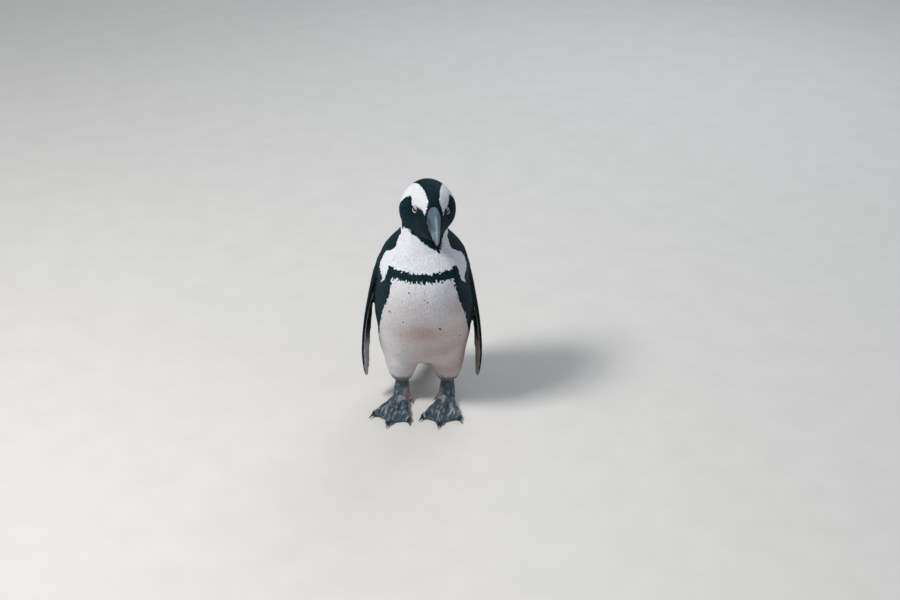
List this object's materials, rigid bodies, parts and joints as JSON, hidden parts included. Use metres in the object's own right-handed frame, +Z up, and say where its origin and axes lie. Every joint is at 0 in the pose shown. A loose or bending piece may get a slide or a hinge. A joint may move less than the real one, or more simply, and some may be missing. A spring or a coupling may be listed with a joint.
{
  "type": "african penguin, standing adult, still life-size model",
  "caption": "Life-size still model of an adult african penguin that stands upright, neck drawn in, flippers hanging and head a little bowed.",
  "frame": {"origin": "on the floor, under the middle of the outline", "axes": "+Z up, the bird faces -Y, its left side is at +X"},
  "size_m": [0.1802, 0.251, 0.3722],
  "materials": {
    "black_plumage": "short dense dull black feathers",
    "white_plumage": "short dense soft white feathers",
    "slate_horn": "satin slate grey horn with fine grooves",
    "foot_skin": "scaly black skin, mottled with pinkish grey",
    "claw_horn": "satin black horn",
    "eye_brown": "wet, dark brown"
  },
  "bodies": {
    "root": {"head": "black_plumage", "neck": "white_plumage", "trunk": "white_plumage", "tail": "black_plumage", "leg_left": "white_plumage", "leg_right": "white_plumage", "flipper_left": "black_plumage", "flipper_right": "black_plumage", "foot_left": "foot_skin", "foot_right": "foot_skin", "eye_left": "eye_brown", "eye_right": "eye_brown", "bill_upper": "slate_horn", "bill_lower": "slate_horn", "claw_left_inner": "claw_horn", "claw_left_middle": "claw_horn", "claw_left_outer": "claw_horn", "claw_left_hind": "claw_horn", "claw_right_inner": "claw_horn", "claw_right_middle": "claw_horn", "claw_right_outer": "claw_horn", "claw_right_hind": "claw_horn"}
  },
  "joints": []
}
